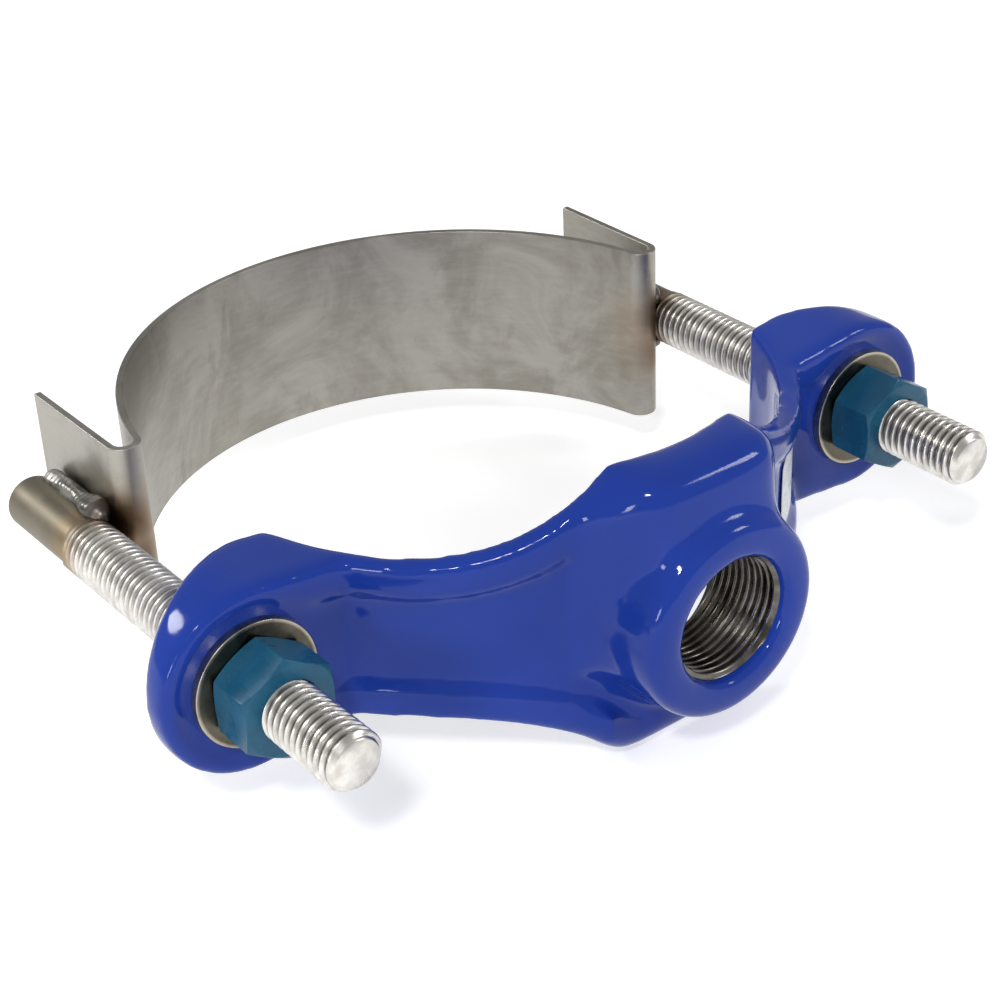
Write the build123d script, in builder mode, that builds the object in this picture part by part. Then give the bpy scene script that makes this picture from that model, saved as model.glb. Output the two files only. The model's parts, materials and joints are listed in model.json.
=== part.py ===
"""Tapping saddle for a 168.3 mm pipe: a cast saddle with a tapped outlet, pulled on to the pipe by a
strap whose two welded studs pass through the lugs of the casting.

The pipe runs along Z and the outlet faces -Y. The origin is on the axis of the strap's circle, half-way
up the strap. The casting is shown as it hangs on loose nuts, drawn back from the pipe by seat_gap.
"""
from math import acos, asin, cos, hypot, isclose, radians, sin, sqrt
import os

from build123d import *

# ---- Pipe -----------------------------------------------------------------------------------------
pipe_dia = 168.3
seat_gap = 9.2                 # how far the loose casting stands off its closed place

# ---- Strap ----------------------------------------------------------------------------------------
strap_width = 54.0
strap_thick = 2.0
fold_inner_r = 2.75            # inside radius of the folded ends
fold_angle = 10.85             # where the band leaves the pipe, up from the line through the studs
ear_tip_y = 55.8               # where the ears end

# ---- Studs, washers and nuts ----------------------------------------------------------------------
stud_dia = 15.88               # over the thread
shank_dia = 14.7               # rolling blank, left plain at the welded end
stud_back_y = 50.0
stud_tip_y = -102.5
thread_end_y = 25.0
stud_chamfer = 1.8
stud_back_chamfer = 0.9
washer_dia = 33.3
washer_bore = 16.7
washer_thick = 2.4
nut_flats = 24.0
nut_thick = 13.9
nut_chamfer = 2.2              # how far the corners of the nut are turned back, along the flats
nut_face_gap = 0.3             # turned face inside the flats
nut_chamfer_depth = 1.32
thread_clearance = 0.05        # between the stud and the bore of the nut

# ---- Weld beads -----------------------------------------------------------------------------------
weld_start_y = 17.0
weld_end_y = 48.0
weld_r = 3.2
weld_taper = 2.2
weld_lift = 2.2                # bead centre off the face of the ear
weld_reach = 1.6               # bead centre off the skin of the shank

# ---- Casting --------------------------------------------------------------------------------------
seat_y = -60.0                 # plane that the washers bear on
bore_clearance = 0.5           # casting to pipe, radial, once closed
rim_height = 6.4               # rim of the arms over the pipe side
web_thick = 3.9                # sunk web of the arms
pocket_depth = 1.8             # rim of a lug above its washer seat
rim_width = 9.5                # rim of the arms, seen from the front
rim_blend_r = 12.0             # where the rim of an arm runs into the rim of a lug
lug_r = 25.0
lug_rim_width = 4.5
lug_back_inner = 23.0          # seat plane to the back of a lug at the pipe side
lug_back_outer = 7.0           # seat plane to the back of a lug at its outer end
lug_back_corner = 8.0          # back corner of a lug, inward of its stud
stud_hole_dia = 19.0
waist_half = 22.3              # half height of an arm at its waist
waist_inset = 30.0             # waist, inward of the stud
pad_half_width = 19.0
pad_half_height = 41.5
pad_face = 51.7                # seat plane to the flat front of the pad
pad_nose_r = 7.0
sill_face = 41.5               # seat plane to the front of the sill under the outlet
sill_height = 14.0
sill_corner_r = 8.0
flank_r = 13.0                 # hollow of the flanks between pad and arms
boss_dia = 54.0
boss_face = 57.4               # seat plane to the face of the outlet
boss_edge_r = 4.0
outlet_bore = 30.3             # crest of the female pipe thread
outlet_mouth_width = 2.2       # bevel round the mouth of the outlet, seen from the front
outlet_mouth_depth = 1.8

# ---- Outlet gasket --------------------------------------------------------------------------------
gasket_inner = 35.0
gasket_outer = 46.0
gasket_groove = 4.5            # depth of its groove, at the middle of the casting
gasket_clearance = 0.3
gasket_proud = 2.0             # how far it stands out of the casting

# ---- Worked out -----------------------------------------------------------------------------------
pipe_r = pipe_dia / 2
stud_r = stud_dia / 2
shank_r = shank_dia / 2
strap_mid_r = pipe_r + strap_thick / 2
fold_mid_r = fold_inner_r + strap_thick / 2
leave_cos, leave_sin = cos(radians(fold_angle)), sin(radians(fold_angle))
ear_mid_x = (strap_mid_r + fold_mid_r) * leave_cos + fold_mid_r
ear_face_x = ear_mid_x + strap_thick / 2
stud_x = ear_face_x + stud_r                   # the thread lies against the ear
waist_x = stud_x - waist_inset
ring_r = lug_r - lug_rim_width                 # inside of the rim of a lug
saddle_y = -seat_gap                           # axis of the casting's hollow
saddle_r = pipe_r + bore_clearance
rim_r = saddle_r + rim_height
web_r = saddle_r + web_thick
pad_face_y = seat_y - pad_face
boss_face_y = seat_y - boss_face
cut_over = 1.0                                 # how far cutting shapes run past the casting
outer_x = stud_x + lug_r + cut_over
clear_z = pad_half_height + cut_over
apex_y = saddle_y - saddle_r                   # pipe side of the casting, at its middle


def arc_y(radius, x):
    """Front of a circle of this radius about the casting's axis, at x."""
    return saddle_y - sqrt(radius**2 - x**2)


def arc_x(radius, y):
    """Half width of a circle of this radius about the casting's axis, at y."""
    return sqrt(radius**2 - (y - saddle_y) ** 2)


def on_ring(corner):
    """Whether a corner of the sunk outline lies on the ring round a washer seat."""
    return isclose(hypot(abs(corner.X) - stud_x, corner.Y), ring_r, rel_tol=1e-6)


# ---- Strap: a band round the pipe whose ends fold back into two ears ---------------------------------
with BuildPart() as strap_band:
    with BuildSketch(Plane.XY.offset(-strap_width / 2)):
        with BuildLine():
            CenterArc((0, 0), strap_mid_r, fold_angle, 180 - 2 * fold_angle)
            for side in (1, -1):
                fold_y = (strap_mid_r + fold_mid_r) * leave_sin
                start = (side * strap_mid_r * leave_cos, strap_mid_r * leave_sin)
                bottom = (side * (ear_mid_x - fold_mid_r), fold_y - fold_mid_r)
                end = (side * ear_mid_x, fold_y)
                ThreePointArc(start, bottom, end)
                Line(end, (side * ear_mid_x, ear_tip_y))
        trace(line_width=strap_thick)
    extrude(amount=strap_width)


def make_stud(side):
    """One stud: a rolled thread with a chamfered point, and a plain shank at the welded end."""
    with BuildPart() as stud:
        with BuildSketch(Plane.XY):
            with BuildLine():
                Polyline(
                    (0, stud_tip_y),
                    (stud_r - stud_chamfer, stud_tip_y),
                    (stud_r, stud_tip_y + stud_chamfer),
                    (stud_r, thread_end_y),
                    (shank_r, thread_end_y + stud_r - shank_r),
                    (shank_r, stud_back_y - stud_back_chamfer),
                    (shank_r - stud_back_chamfer, stud_back_y),
                    (0, stud_back_y),
                    close=True,
                )
            make_face()
        revolve(axis=Axis.Y)
    return stud.part.moved(Location((side * stud_x, 0, 0)))


def make_washer(side):
    """One flat washer on its seat."""
    with BuildPart() as washer:
        with BuildSketch(Plane.XZ.offset(-seat_y)):
            with Locations((side * stud_x, 0)):
                Circle(washer_dia / 2)
                Circle(washer_bore / 2, mode=Mode.SUBTRACT)
        extrude(amount=washer_thick)
    return washer.part


def make_nut(side):
    """One hexagon nut against its washer, with both faces turned down to a circle."""
    nut_back = -seat_y + washer_thick
    turned_r = nut_flats / 2 - nut_face_gap
    corner_r = nut_flats / 2 + nut_chamfer
    with BuildPart() as blank:
        with BuildSketch(Plane.XY):
            with BuildLine():
                Polyline(
                    (0, -nut_back),
                    (turned_r, -nut_back),
                    (corner_r, -nut_back - nut_chamfer_depth),
                    (corner_r, -nut_back - nut_thick + nut_chamfer_depth),
                    (turned_r, -nut_back - nut_thick),
                    (0, -nut_back - nut_thick),
                    close=True,
                )
            make_face()
        revolve(axis=Axis.Y)
        with BuildSketch(Plane.XZ.offset(nut_back)):
            RegularPolygon(nut_flats / 2, 6, major_radius=False, rotation=30)
        extrude(amount=nut_thick, mode=Mode.INTERSECT)
        with BuildSketch(Plane.XZ.offset(nut_back)):
            Circle(stud_r + thread_clearance)
        extrude(amount=nut_thick, mode=Mode.SUBTRACT)
    return blank.part.moved(Location((side * stud_x, 0, 0)))


studs = {name: make_stud(side) for name, side in (("stud_left", -1), ("stud_right", 1))}
washers = {name: make_washer(side) for name, side in (("washer_left", -1), ("washer_right", 1))}
nuts = {name: make_nut(side) for name, side in (("nut_left", -1), ("nut_right", 1))}


# ---- Casting: lugs, arms, pad and outlet in one piece --------------------------------------------------
with BuildSketch(Plane.XZ) as front_outline:
    with BuildLine():
        waist = (-waist_x, waist_half)
        reach = sqrt((stud_x - waist_x) ** 2 + waist_half**2)
        turn = acos(lug_r / reach) + asin(waist_half / reach)
        touch = (-stud_x + lug_r * cos(turn), lug_r * sin(turn))
        for flip in (1, -1):
            RadiusArc((-stud_x - lug_r, 0), (touch[0], flip * touch[1]), flip * lug_r)
            shoulder = Line((touch[0], flip * touch[1]), (waist[0], flip * waist[1]))
            TangentArc(
                (waist[0], flip * waist[1]),
                (-pad_half_width, flip * pad_half_height),
                tangent=shoulder % 1,
            )
            Line((-pad_half_width, flip * pad_half_height), (0, flip * pad_half_height))
        mirror(about=Plane.YZ)
    make_face()
    fillet(front_outline.vertices().group_by(Axis.Y)[0], sill_corner_r)

with BuildSketch(Plane.XZ) as sunk_outline:
    add(front_outline.sketch)
    offset(amount=-rim_width, mode=Mode.REPLACE)
    with Locations((-stud_x, 0), (stud_x, 0)):
        Circle(ring_r)
    ring_corners = [v for v in sunk_outline.vertices() if on_ring(v)]
    fillet(ring_corners, rim_blend_r)


def plan_front(radius, lug_front_y, half_width, face_y):
    """Front of the casting seen from above: flat lugs, arms round the pipe, hollow flanks, flat pad."""
    shoulder_x = arc_x(radius, lug_front_y)
    hollow_x = half_width + flank_r
    hollow_y = arc_y(radius + flank_r, hollow_x)
    share = radius / (radius + flank_r)
    leave = (share * hollow_x, saddle_y + share * (hollow_y - saddle_y))
    middle = ((leave[0] + shoulder_x) / 2, arc_y(radius, (leave[0] + shoulder_x) / 2))
    for side in (1, -1):
        Line((side * outer_x, lug_front_y), (side * shoulder_x, lug_front_y))
        shoulder = (side * shoulder_x, lug_front_y)
        ThreePointArc(shoulder, (side * middle[0], middle[1]), (side * leave[0], leave[1]))
        RadiusArc((side * leave[0], leave[1]), (side * half_width, hollow_y), side * flank_r)
        Line((side * half_width, hollow_y), (side * half_width, face_y))
    Line((-half_width, face_y), (half_width, face_y))


with BuildPart() as saddle_body:
    with BuildSketch(Plane.XY.offset(-clear_z)):
        with BuildLine():
            plan_front(rim_r, seat_y - pocket_depth, pad_half_width, pad_face_y)
            back_y = seat_y + lug_back_inner
            back_x = arc_x(saddle_r, back_y)
            for side in (1, -1):
                Polyline(
                    (side * outer_x, seat_y - pocket_depth),
                    (side * outer_x, seat_y + lug_back_outer),
                    (side * (stud_x - lug_back_corner), back_y),
                    (side * back_x, back_y),
                )
            ThreePointArc((-back_x, back_y), (0, apex_y), (back_x, back_y))
        make_face()
    extrude(amount=2 * clear_z)
    extrude(front_outline.sketch, amount=-boss_face_y, mode=Mode.INTERSECT)
    with BuildSketch(Plane.YZ.offset(-outer_x)):
        sill_y = seat_y - sill_face
        with BuildLine():
            Polyline(
                (seat_y + lug_back_inner, pad_half_height),
                (seat_y + lug_back_inner, -pad_half_height),
                (sill_y + sill_corner_r, -pad_half_height),
            )
            RadiusArc(
                (sill_y + sill_corner_r, -pad_half_height),
                (sill_y, -pad_half_height + sill_corner_r),
                sill_corner_r,
            )
            Polyline(
                (sill_y, -pad_half_height + sill_corner_r),
                (sill_y, -pad_half_height + sill_height),
                (pad_face_y, -boss_dia / 4),
                (pad_face_y, pad_half_height - pad_nose_r),
            )
            RadiusArc(
                (pad_face_y, pad_half_height - pad_nose_r),
                (pad_face_y + pad_nose_r, pad_half_height),
                pad_nose_r,
            )
            Line((pad_face_y + pad_nose_r, pad_half_height), (seat_y + lug_back_inner, pad_half_height))
        make_face()
    extrude(amount=2 * outer_x, mode=Mode.INTERSECT)


with BuildPart() as web_core:
    with BuildSketch(Plane.XY.offset(-clear_z)):
        with BuildLine():
            plan_front(web_r, seat_y, pad_half_width + rim_height - web_thick, boss_face_y)
            Polyline((-outer_x, seat_y), (-outer_x, 0), (outer_x, 0), (outer_x, seat_y))
        make_face()
    extrude(amount=2 * clear_z)

with BuildPart() as sunk_web:
    extrude(sunk_outline.sketch, amount=-boss_face_y)
    add(web_core.part, mode=Mode.SUBTRACT)

with BuildPart() as sunk_sill:
    extrude(sunk_outline.sketch, amount=-boss_face_y)
    with BuildSketch(Plane.XY.offset(-clear_z)):
        with Locations((0, saddle_y)):
            Circle(web_r)
        with Locations((0, 0)):
            Rectangle(2 * outer_x, -2 * seat_y)
    extrude(amount=2 * clear_z, mode=Mode.SUBTRACT)
    split(bisect_by=Plane.XY.offset(-boss_dia / 4), keep=Keep.BOTTOM)

with saddle_body:
    add(sunk_web.part, mode=Mode.SUBTRACT)
    add(sunk_sill.part, mode=Mode.SUBTRACT)
    with BuildSketch(Plane.XZ.offset(-boss_face_y)):
        Circle(boss_dia / 2)
    extrude(amount=boss_face_y - apex_y - rim_height)
    fillet(saddle_body.faces().sort_by(Axis.Y)[0].outer_wire().edges(), boss_edge_r)
    with BuildSketch(Plane.XY.offset(-clear_z)):
        with Locations((0, saddle_y)):
            Circle(saddle_r)
    extrude(amount=2 * clear_z, mode=Mode.SUBTRACT)
    with BuildSketch(Plane.XY):
        with BuildLine():
            Polyline(
                (0, boss_face_y),
                (outlet_bore / 2 + outlet_mouth_width, boss_face_y),
                (outlet_bore / 2, boss_face_y + outlet_mouth_depth),
                (0, boss_face_y + outlet_mouth_depth),
                close=True,
            )
        make_face()
    revolve(axis=Axis.Y, mode=Mode.SUBTRACT)
    with BuildSketch(Plane.XZ.offset(-boss_face_y)):
        Circle(outlet_bore / 2)
        with Locations((-stud_x, 0), (stud_x, 0)):
            Circle(stud_hole_dia / 2)
    extrude(amount=boss_face_y, mode=Mode.SUBTRACT)
    with BuildSketch(Plane.XZ.offset(-apex_y + gasket_groove)):
        Circle(gasket_outer / 2 + gasket_clearance)
        Circle(gasket_inner / 2 - gasket_clearance, mode=Mode.SUBTRACT)
    extrude(amount=-pipe_r / 2, mode=Mode.SUBTRACT)

# ---- Outlet gasket: a ring in its groove, curved to the pipe -------------------------------------------
with BuildPart() as outlet_gasket:
    with BuildSketch(Plane.XZ.offset(-apex_y + gasket_groove)):
        Circle(gasket_outer / 2)
        Circle(gasket_inner / 2, mode=Mode.SUBTRACT)
    extrude(amount=-pipe_r / 2)
    with BuildSketch(Plane.XY.offset(-clear_z)):
        with Locations((0, saddle_y)):
            Circle(saddle_r - gasket_proud)
    extrude(amount=2 * clear_z, mode=Mode.SUBTRACT)


# ---- Weld beads: in the corners above and below each stud, where it lies on the ear --------------------
def make_weld(level):
    """One bead of the left ear, a bar with tapered ends, with the ear and the stud taken out of it."""
    bead_x = -ear_face_x - weld_lift
    bead_z = level * sqrt((shank_r + weld_reach) ** 2 - (stud_x + bead_x) ** 2)
    with BuildPart() as bead:
        with BuildSketch(Plane.XZ.offset(-weld_start_y)):
            with Locations((bead_x, bead_z)):
                Circle(weld_r)
        extrude(amount=-(weld_end_y - weld_start_y))
        chamfer(bead.edges().filter_by(GeomType.CIRCLE), weld_taper)
        add(strap_band.part, mode=Mode.SUBTRACT)
        add(studs["stud_left"], mode=Mode.SUBTRACT)
    return bead.part


welds = {}
for level_name, level in (("upper", 1), ("lower", -1)):
    welds[f"weld_left_{level_name}"] = make_weld(level)
    welds[f"weld_right_{level_name}"] = mirror(make_weld(level), about=Plane.YZ)

# ---- Names and files -----------------------------------------------------------------------------------
pieces = {
    "saddle_body": saddle_body.part,
    "outlet_gasket": outlet_gasket.part,
    "strap_band": strap_band.part,
    **studs,
    **welds,
    **washers,
    **nuts,
}
os.makedirs("parts", exist_ok=True)
for name, piece in pieces.items():
    piece.label = name
    export_step(piece, f"parts/{name}.step")
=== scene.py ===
"""A tapping saddle for a pipe, dressed for a plain studio: enamelled casting, stainless strap and studs."""

import json
from math import pi, radians

import bmesh
import bpy
import numpy as np
from mathutils import Matrix, Vector


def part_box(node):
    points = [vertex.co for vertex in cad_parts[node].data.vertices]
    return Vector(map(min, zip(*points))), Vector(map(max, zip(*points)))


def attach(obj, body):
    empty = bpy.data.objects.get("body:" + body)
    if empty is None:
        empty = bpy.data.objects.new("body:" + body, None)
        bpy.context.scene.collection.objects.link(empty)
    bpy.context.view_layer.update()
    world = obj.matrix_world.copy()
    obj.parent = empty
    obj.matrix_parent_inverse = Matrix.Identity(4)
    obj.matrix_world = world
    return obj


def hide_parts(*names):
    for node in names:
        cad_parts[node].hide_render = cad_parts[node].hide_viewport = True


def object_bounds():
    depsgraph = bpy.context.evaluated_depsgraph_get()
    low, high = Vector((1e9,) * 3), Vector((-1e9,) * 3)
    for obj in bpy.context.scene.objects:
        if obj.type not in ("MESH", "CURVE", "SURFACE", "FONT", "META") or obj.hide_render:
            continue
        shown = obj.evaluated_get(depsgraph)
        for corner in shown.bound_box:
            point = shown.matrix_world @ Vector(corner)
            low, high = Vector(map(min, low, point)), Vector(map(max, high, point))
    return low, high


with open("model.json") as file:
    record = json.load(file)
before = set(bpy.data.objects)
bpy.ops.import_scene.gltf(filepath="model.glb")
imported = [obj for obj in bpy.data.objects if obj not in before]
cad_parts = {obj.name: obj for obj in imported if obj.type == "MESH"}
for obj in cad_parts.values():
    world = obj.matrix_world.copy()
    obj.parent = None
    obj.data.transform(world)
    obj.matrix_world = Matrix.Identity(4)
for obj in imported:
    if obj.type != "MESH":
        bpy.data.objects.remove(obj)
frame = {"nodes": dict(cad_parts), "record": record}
cad_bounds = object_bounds()
MM = 0.001

# ---- Places taken from the solids ------------------------------------------------------------------
stud_low, stud_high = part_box("stud_right")
stud_x = (stud_low.x + stud_high.x) / 2
stud_r = (stud_high.x - stud_low.x) / 2
stud_tip, stud_back = stud_low.y, stud_high.y
boss_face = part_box("saddle_body")[0].y
mounts = {mount["name"]: mount for mount in frame["record"]["mounts"]}
outlet_r = mounts["outlet_thread"]["dims"]["r_mm"] * MM
pipe_r = mounts["pipe_clamp"]["dims"]["r_mm"] * MM
joints = {joint["name"]: joint for joint in frame["record"]["behaviour"]["joints"]}
web_y = -joints["saddle_slide"]["range_m"][1]   # axis of the casting's hollow, drawn back at rest
web_r = pipe_r + 4.4 * MM                       # face of the sunk web of the arms

# ---- Threads and small forms ------------------------------------------------------------------------
inch = 25.4 * MM
stud_pitch = inch / 11
stud_thread_depth = 0.58 * stud_pitch
outlet_pitch = inch / 11.5
outlet_thread_depth = 0.64 * outlet_pitch
shank_r = 7.35 * MM
thread_end = 18 * MM
stud_chamfer = 1.8 * MM
shank_round = 1.2 * MM        # rounding of the stud's back end
bore_room = 1.6 * MM          # how far the casting's bore is opened for the thread
boss_r = 27.0 * MM
swell_r = 13.0 * MM           # hollow between boss and web
swell_back = -93 * MM         # where the softening of the swell starts
casting_grain = 0.85 * MM     # mesh of the casting
edge_rounds = 34              # relaxing of the whole casting
swell_rounds = 110            # further relaxing round the outlet
label_x = (46 * MM, 68 * MM)
label_z = 2.0 * MM
label_half = 10.5 * MM
label_lift = 0.3 * MM
label_thick = 0.25 * MM


# ---- Mesh helpers -----------------------------------------------------------------------------------
def new_piece(name, points, faces):
    """A mesh object from arrays of points and faces, smooth shaded."""
    mesh = bpy.data.meshes.new(name)
    mesh.from_pydata(points.tolist(), [], faces)
    mesh.update()
    mesh.shade_smooth()
    piece = bpy.data.objects.new(name, mesh)
    bpy.context.scene.collection.objects.link(piece)
    return piece


def grid_faces(rows, columns, wrap_rows=False):
    """Quads of a grid whose columns close on themselves, and whose rows may too."""
    last = rows if wrap_rows else rows - 1
    i, j = np.meshgrid(np.arange(last), np.arange(columns), indexing="ij")
    below, beside = (i + 1) % rows, (j + 1) % columns
    corners = (i * columns + j, below * columns + j, below * columns + beside, i * columns + beside)
    return np.stack(corners, axis=-1).reshape(-1, 4)


def turned(name, y, radius, axis_x, ring=False):
    """A lathe form about a line along Y: point = (axis + r cos a, y, r sin a), with r given for each row
    and angle. A ring closes its last row on to its first; a bar closes each end on a middle point."""
    rows, sides = radius.shape
    angle = np.linspace(0, 2 * pi, sides, endpoint=False)[None, :]
    x = axis_x + radius * np.cos(angle)
    z = radius * np.sin(angle)
    depth = y if y.ndim == 2 else np.broadcast_to(y[:, None], x.shape)
    points = np.stack([x, depth, z], axis=-1).reshape(-1, 3)
    faces = grid_faces(rows, sides, ring).tolist()
    if not ring:
        near, far = len(points), len(points) + 1
        points = np.vstack([points, [axis_x, y[0], 0], [axis_x, y[-1], 0]])
        around = np.arange(sides)
        after = (around + 1) % sides
        base = (rows - 1) * sides
        faces += np.stack([np.full(sides, near), around, after], axis=-1).tolist()
        faces += np.stack([np.full(sides, far), base + after, base + around], axis=-1).tolist()
    return new_piece(name, points, faces)


def thread_wave(y, sides, pitch):
    """Right-hand 60-degree thread: 0 on the crest and 1 in the root, with rounded crest and root."""
    angle = np.linspace(0, 2 * pi, sides, endpoint=False)[None, :]
    turn = (y[:, None] / pitch + angle / (2 * pi)) % 1.0
    slope = np.clip((np.abs(2 * turn - 1) - 0.12) / 0.72, 0, 1)
    return slope * slope * (3 - 2 * slope)


def merged_copy(node, name):
    """A copy of a CAD node's mesh with its loose triangles joined."""
    mesh = frame["nodes"][node].data.copy()
    mesh.name = name
    joined = bmesh.new()
    joined.from_mesh(mesh)
    bmesh.ops.remove_doubles(joined, verts=joined.verts, dist=2e-6)
    joined.to_mesh(mesh)
    joined.free()
    piece = bpy.data.objects.new(name, mesh)
    bpy.context.scene.collection.objects.link(piece)
    return piece


def read_points(piece):
    """The points of a piece as an array of rows."""
    points = np.empty(len(piece.data.vertices) * 3)
    piece.data.vertices.foreach_get("co", points)
    return points.reshape(-1, 3)


def tidy_normals(piece):
    """Joins points that fall together and turns every face outward."""
    mesh = bmesh.new()
    mesh.from_mesh(piece.data)
    bmesh.ops.remove_doubles(mesh, verts=mesh.verts, dist=1e-6)
    bmesh.ops.recalc_face_normals(mesh, faces=mesh.faces)
    mesh.to_mesh(piece.data)
    mesh.free()
    piece.data.shade_smooth()


def apply_modifiers(piece):
    """Bakes a piece's modifiers into its mesh."""
    graph = bpy.context.evaluated_depsgraph_get()
    mesh = bpy.data.meshes.new_from_object(piece.evaluated_get(graph))
    piece.modifiers.clear()
    piece.data = mesh


# ---- Material helpers -------------------------------------------------------------------------------
class Shade:
    """A node tree being built for one finish."""

    def __init__(self, name):
        """Starts a material with its shader and the place on the piece."""
        self.material = bpy.data.materials.new(name)
        self.material.use_nodes = True
        self.nodes = self.material.node_tree.nodes
        self.links = self.material.node_tree.links
        self.shader = self.nodes["Principled BSDF"]
        self.place = self.nodes.new("ShaderNodeTexCoord").outputs["Object"]

    def set(self, **values):
        """Sets sockets of the shader by name, with _ for a space."""
        for key, value in values.items():
            self.shader.inputs[key.replace("_", " ")].default_value = value

    def link(self, source, key):
        """Joins a socket to an input of the shader."""
        self.links.new(source, self.shader.inputs[key])

    def feed(self, node, key, value):
        """Gives a node's input a number, a colour or another node's output."""
        if isinstance(value, bpy.types.NodeSocket):
            self.links.new(value, node.inputs[key])
        else:
            node.inputs[key].default_value = value

    def noise(self, scale, detail=4.0, rough=0.55, stretch=(1, 1, 1), distortion=0.0):
        """Noise over the piece, scale in lumps to the metre; stretch squeezes it along an axis."""
        mapping = self.nodes.new("ShaderNodeMapping")
        mapping.inputs["Scale"].default_value = stretch
        self.links.new(self.place, mapping.inputs["Vector"])
        node = self.nodes.new("ShaderNodeTexNoise")
        self.links.new(mapping.outputs["Vector"], node.inputs["Vector"])
        node.inputs["Scale"].default_value = scale
        node.inputs["Detail"].default_value = detail
        node.inputs["Roughness"].default_value = rough
        node.inputs["Distortion"].default_value = distortion
        return node.outputs["Fac"]

    def ramp(self, source, low, high, start=0.0, end=1.0):
        """Maps low..high of a number on to start..end, smoothly and clamped."""
        node = self.nodes.new("ShaderNodeMapRange")
        node.interpolation_type = "SMOOTHSTEP"
        self.feed(node, "Value", source)
        for key, value in (("From Min", low), ("From Max", high), ("To Min", start), ("To Max", end)):
            self.feed(node, key, value)
        return node.outputs["Result"]

    def sum(self, operation, first, second=0.0):
        """One Math node."""
        node = self.nodes.new("ShaderNodeMath")
        node.operation = operation
        self.feed(node, 0, first)
        self.feed(node, 1, second)
        return node.outputs[0]

    def axis(self, letter):
        """One coordinate of the place on the piece, in metres."""
        node = self.nodes.new("ShaderNodeSeparateXYZ")
        self.links.new(self.place, node.inputs[0])
        return node.outputs[letter]

    def near(self, centre, reach):
        """1 close to a point, fading to 0 at a distance, both ends of the X axis alike."""
        folded = self.nodes.new("ShaderNodeCombineXYZ")
        self.feed(folded, "X", self.sum("ABSOLUTE", self.axis("X")))
        self.feed(folded, "Y", self.axis("Y"))
        self.feed(folded, "Z", self.sum("ABSOLUTE", self.axis("Z")))
        node = self.nodes.new("ShaderNodeVectorMath")
        node.operation = "DISTANCE"
        self.links.new(folded.outputs[0], node.inputs[0])
        node.inputs[1].default_value = centre
        return self.ramp(node.outputs["Value"], 0.0, reach, 1.0, 0.0)

    def from_stud(self):
        """Distance from the axis of the nearer stud."""
        beside = self.sum("SUBTRACT", self.sum("ABSOLUTE", self.axis("X")), stud_x)
        level = self.axis("Z")
        squares = self.sum("ADD", self.sum("MULTIPLY", beside, beside), self.sum("MULTIPLY", level, level))
        return self.sum("SQRT", squares)

    def mix(self, factor, first, second):
        """Blends two colours."""
        node = self.nodes.new("ShaderNodeMix")
        node.data_type = "RGBA"
        self.feed(node, 0, factor)
        self.feed(node, 6, first)
        self.feed(node, 7, second)
        return node.outputs[2]

    def bump(self, height, depth, strength=1.0, under=None):
        """Raises the surface by a height map, depth in metres."""
        node = self.nodes.new("ShaderNodeBump")
        node.inputs["Strength"].default_value = strength
        node.inputs["Distance"].default_value = depth
        self.feed(node, "Height", height)
        if under is not None:
            self.feed(node, "Normal", under)
        return node.outputs["Normal"]


def dress(piece, material):
    """Gives a piece one finish."""
    piece.data.materials.clear()
    piece.data.materials.append(material)


def colour(red, green, blue):
    """An opaque colour in linear light."""
    return (red, green, blue, 1.0)


# ---- Finishes ---------------------------------------------------------------------------------------
def blue_enamel():
    """Thick glossy fused coating: deep blue, faintly wavy like orange peel."""
    shade = Shade("blue_enamel")
    cloud = shade.noise(18, detail=3)
    blue = shade.mix(shade.ramp(cloud, 0.35, 0.7), colour(0.011, 0.040, 0.30), colour(0.015, 0.050, 0.36))
    shade.link(blue, "Base Color")
    shade.link(shade.ramp(shade.noise(60), 0.3, 0.8, 0.06, 0.13), "Roughness")
    peel = shade.bump(shade.noise(300, detail=2), 0.00004, 0.35)
    shade.link(shade.bump(shade.noise(45, detail=1), 0.0002, 0.2, peel), "Normal")
    shade.set(Specular_IOR_Level=0.22)
    return shade.material


def strap_stainless():
    """Cold-rolled stainless sheet: soft grey with smudges, browned by the heat of welding."""
    shade = Shade("strap_stainless")
    smudge = shade.noise(30, detail=6, rough=0.62, distortion=0.8)
    stain = shade.noise(75, detail=5, rough=0.6, stretch=(1, 1, 0.5), distortion=0.5)
    fine = shade.noise(420, detail=3, stretch=(0.35, 0.35, 1.6))
    grey = shade.mix(shade.ramp(smudge, 0.38, 0.62), colour(0.27, 0.255, 0.222), colour(0.40, 0.382, 0.342))
    grey = shade.mix(shade.ramp(stain, 0.56, 0.74, 0.0, 0.55), grey, colour(0.20, 0.185, 0.155))
    grey = shade.mix(shade.ramp(fine, 0.3, 0.8, 0.0, 0.16), grey, colour(0.52, 0.50, 0.46))
    patchy = shade.ramp(smudge, 0.3, 0.7, 0.4, 1.0)
    straw = shade.sum("MULTIPLY", shade.near((0.092, 0.015, 0.004), 0.018), patchy)
    grey = shade.mix(straw, grey, colour(0.33, 0.20, 0.085))
    scorched = shade.ramp(stain, 0.3, 0.6, 0.5, 1.0)
    burn = shade.sum("MULTIPLY", shade.near((0.092, 0.014, 0.006), 0.010), scorched)
    shade.link(shade.mix(burn, grey, colour(0.065, 0.035, 0.022)), "Base Color")
    shade.link(shade.ramp(smudge, 0.3, 0.7, 0.30, 0.44), "Roughness")
    shade.link(shade.bump(fine, 0.00003, 0.2), "Normal")
    shade.set(Metallic=1.0, Anisotropic=0.2)
    return shade.material


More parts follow.
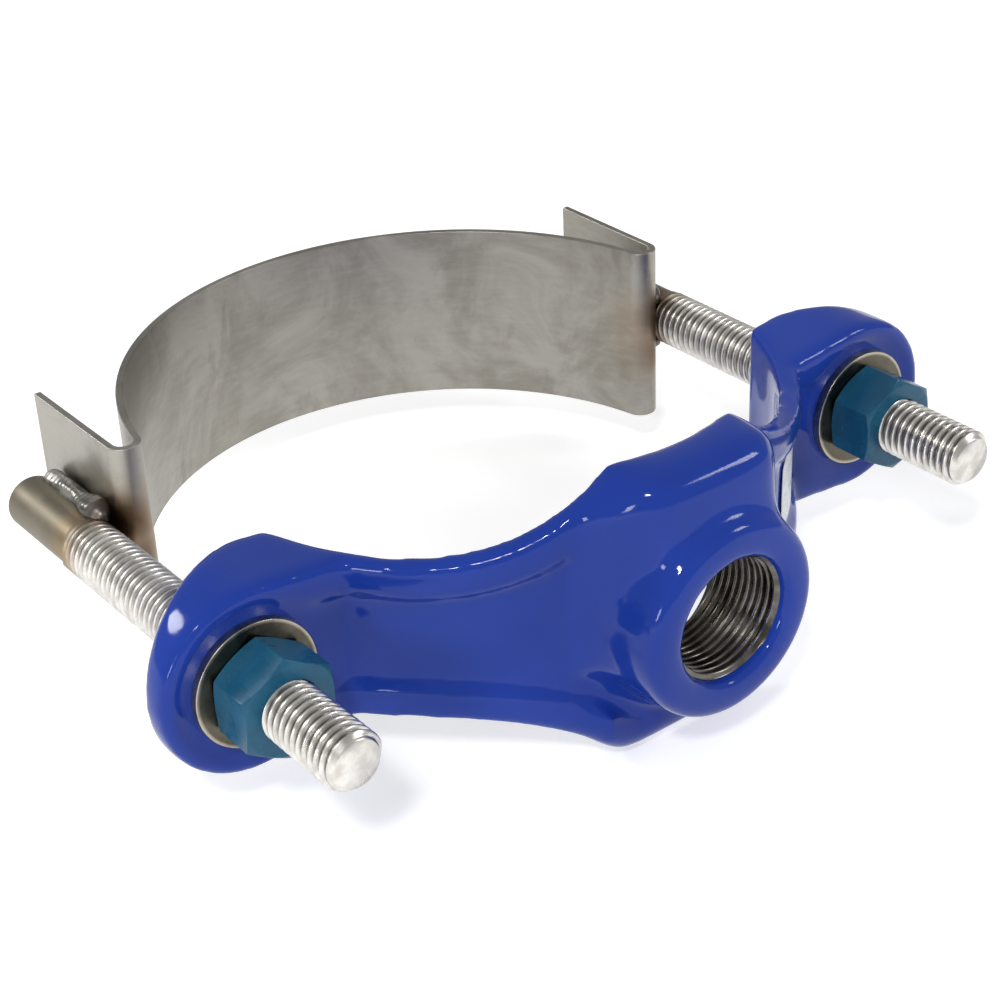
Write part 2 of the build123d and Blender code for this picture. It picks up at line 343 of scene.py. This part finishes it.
def stud_stainless():
    """Rolled stud: bright thread with painted shade in the roots, straw tint and scale at the welded end."""
    shade = Shade("stud_stainless")
    grime = shade.noise(300, detail=4)
    blotch = shade.noise(45, detail=4)
    bright = shade.mix(shade.ramp(grime, 0.3, 0.7), colour(0.58, 0.555, 0.51), colour(0.80, 0.78, 0.74))
    heat = shade.ramp(shade.axis("Y"), 0.010, 0.021)
    scale = shade.mix(shade.ramp(blotch, 0.3, 0.7), colour(0.19, 0.168, 0.122), colour(0.27, 0.247, 0.196))
    bright = shade.mix(heat, bright, scale)
    tinted = shade.ramp(blotch, 0.35, 0.6, 0.2, 0.9)
    gold = shade.sum("MULTIPLY", shade.near((stud_x, 0.0185, 0.0), 0.0135), tinted)
    bright = shade.mix(gold, bright, colour(0.46, 0.27, 0.09))
    scorched = shade.ramp(blotch, 0.3, 0.6, 0.4, 1.0)
    burn = shade.sum("MULTIPLY", shade.near((0.095, 0.017, 0.006), 0.010), scorched)
    bright = shade.mix(burn, bright, colour(0.08, 0.045, 0.03))
    # painted shade: the thread's roots darkened by their distance from the stud's axis, along the threaded
    # length behind the point
    root = shade.ramp(shade.from_stud(), 6.75 * MM, 7.25 * MM, 0.85, 0.0)
    threaded = shade.ramp(shade.axis("Y"), thread_end, thread_end + stud_pitch, 1.0, 0.0)
    root_shade_mask = shade.sum("MULTIPLY", root, threaded)
    behind_tip = shade.ramp(shade.axis("Y"), stud_tip + 1.0 * MM, stud_tip + 2.0 * MM)
    painted_root_shade = shade.sum("MULTIPLY", root_shade_mask, behind_tip)
    shade.link(shade.mix(painted_root_shade, bright, colour(0.07, 0.06, 0.05)), "Base Color")
    shade.link(shade.sum("ADD", shade.ramp(blotch, 0.3, 0.7, 0.25, 0.38), shade.sum("MULTIPLY", heat, 0.2)),
               "Roughness")
    shade.link(shade.bump(grime, 0.00005, 0.3), "Normal")
    shade.set(Metallic=1.0)
    return shade.material


def weld_metal():
    """Bead as it cooled: dull grey, darker and browner at the lumpy end by the fold."""
    shade = Shade("weld_metal")
    lumps = shade.noise(240, detail=4)
    grey = shade.mix(shade.ramp(lumps, 0.3, 0.7), colour(0.17, 0.165, 0.15), colour(0.37, 0.36, 0.335))
    by_fold = shade.ramp(shade.axis("Y"), 0.014, 0.029, 1.0, 0.0)
    browned = shade.sum("MULTIPLY", by_fold, shade.ramp(lumps, 0.3, 0.6, 0.35, 1.0))
    shade.link(shade.mix(browned, grey, colour(0.095, 0.07, 0.055)), "Base Color")
    shade.link(shade.ramp(lumps, 0.3, 0.7, 0.28, 0.46), "Roughness")
    shade.link(shade.bump(lumps, 0.0002, 0.4), "Normal")
    shade.set(Metallic=1.0)
    return shade.material


def washer_stainless():
    """Flat washer, dull and bronzed, with a painted highlight round its rim."""
    shade = Shade("washer_stainless")
    cloud = shade.noise(120, detail=5)
    dull = shade.mix(shade.ramp(cloud, 0.3, 0.7), colour(0.07, 0.062, 0.046), colour(0.15, 0.135, 0.10))
    # painted highlight: a bright band of colour round the washer's outer edge, broken up by the cloud
    at_rim = shade.ramp(shade.from_stud(), 15.5 * MM, 16.4 * MM)
    painted_rim_highlight = shade.sum("MULTIPLY", at_rim, shade.ramp(cloud, 0.3, 0.6, 0.5, 1.0))
    shade.link(shade.mix(painted_rim_highlight, dull, colour(0.50, 0.45, 0.35)), "Base Color")
    shade.link(shade.ramp(cloud, 0.3, 0.7, 0.25, 0.42), "Roughness")
    shade.link(shade.bump(shade.noise(700, detail=3), 0.00004, 0.3), "Normal")
    shade.set(Metallic=1.0)
    return shade.material


def nut_coating():
    """Baked anti-seize coating: teal blue, semi-gloss, slightly cloudy."""
    shade = Shade("nut_coating")
    cloud = shade.noise(90, detail=4)
    teal = shade.mix(shade.ramp(cloud, 0.3, 0.7), colour(0.010, 0.084, 0.160), colour(0.016, 0.120, 0.215))
    shade.link(teal, "Base Color")
    shade.link(shade.ramp(cloud, 0.3, 0.7, 0.22, 0.34), "Roughness")
    shade.link(shade.bump(shade.noise(420, detail=3), 0.00005, 0.3), "Normal")
    shade.set(Specular_IOR_Level=0.3)
    return shade.material


def gasket_rubber():
    """Black rubber with a dusty bloom."""
    shade = Shade("gasket_rubber")
    cloud = shade.noise(90, detail=5)
    black = shade.mix(shade.ramp(cloud, 0.3, 0.7), colour(0.016, 0.016, 0.017), colour(0.035, 0.034, 0.033))
    shade.link(black, "Base Color")
    shade.link(shade.ramp(cloud, 0.3, 0.7, 0.5, 0.7), "Roughness")
    shade.link(shade.bump(shade.noise(900, detail=2), 0.00004, 0.4), "Normal")
    return shade.material


def cut_iron():
    """Freshly cut thread in the casting, bare and slightly oily."""
    shade = Shade("cut_iron")
    cloud = shade.noise(150, detail=4)
    shade.link(shade.mix(shade.ramp(cloud, 0.3, 0.7), colour(0.085, 0.077, 0.066), colour(0.23, 0.213, 0.19)),
               "Base Color")
    shade.link(shade.ramp(cloud, 0.3, 0.7, 0.20, 0.34), "Roughness")
    shade.link(shade.bump(shade.noise(900, detail=2), 0.00003, 0.3), "Normal")
    shade.set(Metallic=1.0)
    return shade.material


def label_film():
    """Blank white film with faint scuffs."""
    shade = Shade("label_film")
    scuff = shade.noise(300, detail=5)
    shade.link(shade.mix(shade.ramp(scuff, 0.35, 0.75), colour(0.66, 0.70, 0.74), colour(0.80, 0.83, 0.86)),
               "Base Color")
    shade.link(shade.ramp(scuff, 0.3, 0.7, 0.25, 0.4), "Roughness")
    shade.link(shade.bump(shade.noise(120, detail=2), 0.0002, 0.2), "Normal")
    return shade.material


finishes = {
    "blue_coating": blue_enamel(),
    "gasket_rubber": gasket_rubber(),
    "strap_steel": strap_stainless(),
    "stud_steel": stud_stainless(),
    "weld_metal": weld_metal(),
    "washer_steel": washer_stainless(),
    "nut_coating": nut_coating(),
}
for part in frame["record"]["subparts"]:
    dress(frame["nodes"][part["node"]], finishes[part["material_slot"]])


# ---- Casting ----------------------------------------------------------------------------------------
def boss_skirt():
    """The hollow swell that carries the outlet: a quarter-round fillet about its axis, radius R, from the
    boss out to the web: r = boss + R (1 - cos p), y = web - R (1 - sin p), the web taken where it ends."""
    sides = 128
    angle = np.linspace(0, 2 * pi, sides, endpoint=False)[None, :]
    sweep = np.linspace(0, pi / 2, 20)[:, None]
    outer = boss_r - 0.5 * MM + swell_r * (1 - np.cos(sweep)) + 0 * angle
    inner = np.full((2, sides), boss_r - 5.0 * MM)
    web = web_y - np.sqrt(web_r**2 - ((boss_r + swell_r) * np.cos(angle)) ** 2)
    y = web + 0.4 * MM - swell_r * (1 - np.sin(sweep))
    y = np.vstack([y, web + 0.4 * MM, y[:1]])
    return turned("boss_skirt", y, np.vstack([outer, inner]), 0.0, ring=True)


def relax(points, edges, weight, rounds):
    """Moves every point towards the middle of its neighbours, round by round, by half its weight."""
    count = len(points)
    ends = np.concatenate([edges[:, 0], edges[:, 1]])
    others = np.concatenate([edges[:, 1], edges[:, 0]])
    neighbours = np.maximum(np.bincount(ends, minlength=count), 1)
    for _ in range(rounds):
        sums = [np.bincount(ends, weights=points[others, axis], minlength=count) for axis in range(3)]
        middle = np.stack(sums, axis=-1) / neighbours[:, None]
        points = points + 0.5 * weight[:, None] * (middle - points)
    return points


def cast_body():
    """The casting with soft foundry edges: the solid's own surface and the swell under the outlet, evenly
    meshed as one and relaxed, most of all round the outlet. The bore is opened first by the depth of the
    thread that goes into it."""
    casting = merged_copy("saddle_body", "casting")
    points = read_points(casting)
    from_axis = np.hypot(points[:, 0], points[:, 2])
    in_bore = np.abs(from_axis - outlet_r) < 0.3 * MM
    opened = np.where(in_bore, (outlet_r + bore_room) / np.maximum(from_axis, MM), 1.0)
    points[:, 0] *= opened
    points[:, 2] *= opened
    casting.data.vertices.foreach_set("co", points.ravel())
    skirt = boss_skirt()
    together = bmesh.new()
    together.from_mesh(casting.data)
    together.from_mesh(skirt.data)
    together.to_mesh(casting.data)
    together.free()
    bpy.data.objects.remove(skirt)
    grain = casting.modifiers.new("grain", "REMESH")
    grain.mode = "VOXEL"
    grain.voxel_size = casting_grain
    apply_modifiers(casting)
    points = read_points(casting)
    edges = np.empty(len(casting.data.edges) * 2, dtype=int)
    casting.data.edges.foreach_get("vertices", edges)
    edges = edges.reshape(-1, 2)
    points = relax(points, edges, np.ones(len(points)), edge_rounds)
    from_axis = np.hypot(points[:, 0], points[:, 2])
    ahead = np.clip((swell_back - points[:, 1]) / (6.0 * MM), 0, 1)
    outside = np.clip((from_axis - boss_r + 0.8 * MM) / (5.0 * MM), 0, 1)
    beyond = np.clip((58.0 * MM - from_axis) / (16.0 * MM), 0, 1)
    points = relax(points, edges, ahead * outside * beyond, swell_rounds)
    casting.data.vertices.foreach_set("co", points.ravel())
    casting.data.update()
    casting.data.shade_smooth()
    dress(casting, finishes["blue_coating"])
    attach(casting, "saddle")
    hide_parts("saddle_body")
    return casting


def outlet_thread():
    """The bare female thread: crest radius of the bore plus the depth of a right-hand thread, opening out
    to the painted mouth, on a thin sleeve whose plain outside lies in the wall of the casting."""
    front, back = boss_face + 2.6 * MM, boss_face + 24.5 * MM
    rows = np.linspace(front, back, int((back - front) / outlet_pitch * 14))
    wave = thread_wave(rows, 96, outlet_pitch)
    mouth = outlet_r + bore_room + 0.1 * MM - (rows - front)[:, None]
    inner = np.maximum(outlet_r + 0.1 * MM + outlet_thread_depth * wave, mouth)
    outer = np.full((2, inner.shape[1]), outlet_r + bore_room + 0.25 * MM)
    y = np.concatenate([rows, [back, front]])
    sleeve = turned("outlet_thread", y, np.vstack([inner, outer]), 0.0, ring=True)
    sleeve.data.flip_normals()
    dress(sleeve, cut_iron())
    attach(sleeve, "saddle")
    return sleeve


def blank_label():
    """A blank film on the web of the right arm: a patch of the web's cylinder about the pipe with rounded
    corners, half height h (1 - |2 t - 1|^6)^(1/6) along its length t, closed to a thin plate."""
    across, up = np.linspace(0, 1, 40)[:, None], np.linspace(-1, 1, 28)[None, :]
    shape = (1 - np.abs(2 * across - 1) ** 6) ** (1 / 6)
    x = label_x[0] + (label_x[1] - label_x[0]) * across + 0 * up
    z = label_z + label_half * shape * up
    layers = []
    for lift in (label_lift, label_lift + label_thick):
        radius = web_r + lift
        y = web_y - np.sqrt(radius**2 - x**2)
        layers.append(np.stack([x, y, z], axis=-1).reshape(-1, 3))
    points = np.vstack(layers)
    rows, columns = x.shape
    i, j = np.meshgrid(np.arange(rows - 1), np.arange(columns - 1), indexing="ij")
    corner = i * columns + j
    beyond = corner + columns
    quad = np.stack([corner, beyond, beyond + 1, corner + 1], axis=-1).reshape(-1, 4)
    rim = np.concatenate([
        np.arange(columns),
        np.arange(1, rows) * columns + columns - 1,
        (rows - 1) * columns + np.arange(columns - 2, -1, -1),
        np.arange(rows - 2, 0, -1) * columns,
    ])
    after = np.roll(rim, -1)
    above = rows * columns
    edge = np.stack([rim, after, after + above, rim + above], axis=-1)
    faces = np.vstack([quad[:, ::-1], quad + above, edge]).tolist()
    patch = new_piece("blank_label", points, faces)
    tidy_normals(patch)
    dress(patch, label_film())
    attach(patch, "saddle")
    return patch


cast_body()
outlet_thread()
blank_label()


# ---- Studs ------------------------------------------------------------------------------------------
def stud(name, side):
    """Chamfered point, rolled thread that runs out in a short cone, plain shank: r = thread crest less
    its depth times the wave, held under the point's cone."""
    rows = np.linspace(stud_tip, thread_end + stud_pitch, int((thread_end - stud_tip) / stud_pitch * 12))
    run_out = np.clip((thread_end + stud_pitch - rows) / (2.0 * stud_pitch), 0, 1)[:, None]
    crest = shank_r + (stud_r - shank_r) * np.clip(2 * run_out, 0, 1)
    body = crest - stud_thread_depth * run_out * thread_wave(rows, 48, stud_pitch)
    point = stud_r - stud_chamfer + (rows - stud_tip)[:, None]
    body = np.minimum(body, point)
    edge = np.linspace(0, pi / 2, 5)
    shank_y = np.concatenate([[stud_back - 6 * MM], stud_back - shank_round * (1 - np.sin(edge))])
    shank = np.concatenate([[shank_r], shank_r - shank_round * (1 - np.cos(edge))])
    radius = np.vstack([body, np.repeat(shank[:, None], 48, axis=1)])
    piece = turned(f"{name}_threaded", np.concatenate([rows, shank_y]), radius, side * stud_x)
    dress(piece, finishes["stud_steel"])
    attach(piece, "strap")
    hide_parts(name)
    return piece


stud("stud_left", -1)
stud("stud_right", 1)


# ---- Nuts, washers, strap: the solids with broken edges ----------------------------------------------
def eased(node, body, slot, width):
    """A copy of a solid whose sharp edges are rolled over by a small radius."""
    piece = merged_copy(node, f"{node}_eased")
    bevel = piece.modifiers.new("ease", "BEVEL")
    bevel.width = width
    bevel.segments = 2
    bevel.limit_method = "ANGLE"
    bevel.angle_limit = radians(28)
    bevel.harden_normals = False
    flat = piece.modifiers.new("flat", "WEIGHTED_NORMAL")
    flat.keep_sharp = True
    piece.data.shade_smooth()
    apply_modifiers(piece)
    dress(piece, finishes[slot])
    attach(piece, body)
    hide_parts(node)
    return piece


for name in ("left", "right"):
    eased(f"nut_{name}", f"nut_{name}", "nut_coating", 0.35 * MM)
    eased(f"washer_{name}", f"washer_{name}", "washer_steel", 0.25 * MM)
eased("strap_band", "strap", "strap_steel", 0.3 * MM)


# ---- Welds ------------------------------------------------------------------------------------------
def weld(name, side, level):
    """A bead along the stud, straight along Y: its radius has rounded ends, faint ripples and a lump of
    bell shape, exp(-u^2), where the torch stopped by the fold."""
    low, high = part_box(name)
    rows = np.linspace(low.y, high.y, 110)
    along = (rows - low.y) / (high.y - low.y)
    ends = np.sqrt(np.clip(1 - np.abs(2 * along - 1) ** 8, 0.02, 1))
    ripple = 1 + 0.02 * np.sin(2 * pi * rows / (1.9 * MM))
    ripple += 0.05 * np.sin(2 * pi * rows / (11.0 * MM) + side + level)
    lump = 1.25 * MM * np.exp(-(((rows - low.y - 5.0 * MM) / (4.2 * MM)) ** 2))
    radius = (2.85 * MM * ripple + lump) * ends
    angle = np.linspace(0, 2 * pi, 32, endpoint=False)[None, :]
    uneven = 1 + 0.05 * np.sin(3 * angle + rows[:, None] / (4 * MM))
    uneven += 0.03 * np.sin(5 * angle - rows[:, None] / (2.3 * MM))
    centre_x = (low.x + high.x) / 2 + side * 0.2 * MM
    centre_z = (low.z + high.z) / 2 - level * 0.3 * MM
    piece = turned(f"{name}_bead", rows, radius[:, None] * uneven, centre_x)
    piece.data.transform(Matrix.Translation((0, 0, centre_z)))
    dress(piece, finishes["weld_metal"])
    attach(piece, "strap")
    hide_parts(name)
    return piece


for side_name, side in (("left", -1), ("right", 1)):
    for level_name, level in (("upper", 1), ("lower", -1)):
        weld(f"weld_{side_name}_{level_name}", side, level)


# ---- Studio -----------------------------------------------------------------------------------------
def studio():
    """A pale floor just under the saddle, a white surround and four soft lamps."""
    size = 60.0
    bpy.ops.mesh.primitive_plane_add(size=size, location=(0, 0, cad_bounds[0][2] - 0.2 * MM))
    floor = bpy.context.object
    floor.name = "floor"
    shade = Shade("pale_floor")
    shade.link(shade.mix(shade.noise(3), colour(0.93, 0.93, 0.93), colour(0.95, 0.95, 0.95)), "Base Color")
    shade.set(Roughness=0.9, Specular_IOR_Level=0.1)
    paths = shade.nodes.new("ShaderNodeLightPath")
    seen = shade.sum("MAXIMUM", paths.outputs["Is Camera Ray"], paths.outputs["Is Glossy Ray"])
    shade.shader.inputs["Emission Color"].default_value = colour(1, 1, 1)
    away = shade.nodes.new("ShaderNodeVectorMath")
    away.operation = "LENGTH"
    shade.links.new(shade.place, away.inputs[0])
    glow = shade.ramp(away.outputs["Value"], 0.5, 1.6, 0.45, 0.64)
    shade.link(shade.sum("MULTIPLY", seen, glow), "Emission Strength")
    dress(floor, shade.material)

    world = bpy.data.worlds.new("white_surround")
    bpy.context.scene.world = world
    world.use_nodes = True
    nodes, links = world.node_tree.nodes, world.node_tree.links
    background = nodes["Background"]
    background.inputs["Color"].default_value = colour(1, 1, 1)
    paths = nodes.new("ShaderNodeLightPath")
    seen = nodes.new("ShaderNodeMath")
    seen.operation = "MAXIMUM"
    links.new(paths.outputs["Is Camera Ray"], seen.inputs[0])
    links.new(paths.outputs["Is Transmission Ray"], seen.inputs[1])
    level = nodes.new("ShaderNodeMapRange")
    links.new(seen.outputs[0], level.inputs["Value"])
    level.inputs["To Min"].default_value = 0.42
    level.inputs["To Max"].default_value = 1.0
    links.new(level.outputs["Result"], background.inputs["Strength"])

    for name, place, width, power in (
        ("key", (-0.75, -0.75, 1.05), 0.15, 6.5),
        ("fill", (0.95, -0.9, 0.75), 0.30, 4.0),
        ("back", (-0.62, 0.88, 0.62), 0.25, 4.0),
        ("side", (-1.05, -0.50, 0.22), 0.22, 2.5),
    ):
        lamp = bpy.data.lights.new(name, "AREA")
        lamp.shape = "SQUARE"
        lamp.size = width
        lamp.energy = power
        holder = bpy.data.objects.new(name, lamp)
        holder.location = place
        holder.rotation_euler = (Vector((0, -0.03, 0)) - Vector(place)).to_track_quat("-Z", "Y").to_euler()
        bpy.context.scene.collection.objects.link(holder)


def camera():
    """A camera above and to the left of the outlet."""
    turn, tilt, roll = radians(36.85), radians(30.65), radians(-2.61)
    forward = Vector((np.cos(tilt) * np.sin(turn), np.cos(tilt) * np.cos(turn), -np.sin(tilt)))
    level = Vector((np.cos(turn), -np.sin(turn), 0))
    upright = level.cross(forward)
    right = level * np.cos(roll) + upright * np.sin(roll)
    up = upright * np.cos(roll) - level * np.sin(roll)
    lens = bpy.data.cameras.new("camera")
    lens.sensor_width = 36.0
    lens.lens = 76.32   # millimetres
    lens.clip_start = 0.01
    holder = bpy.data.objects.new("camera", lens)
    turned_to = Matrix((right, up, -forward)).transposed().to_4x4()
    holder.matrix_world = Matrix.Translation((-0.29462, -0.41841, 0.28452)) @ turned_to
    bpy.context.scene.collection.objects.link(holder)
    bpy.context.scene.camera = holder


studio()
camera()
bpy.context.scene.view_settings.view_transform = "Standard"
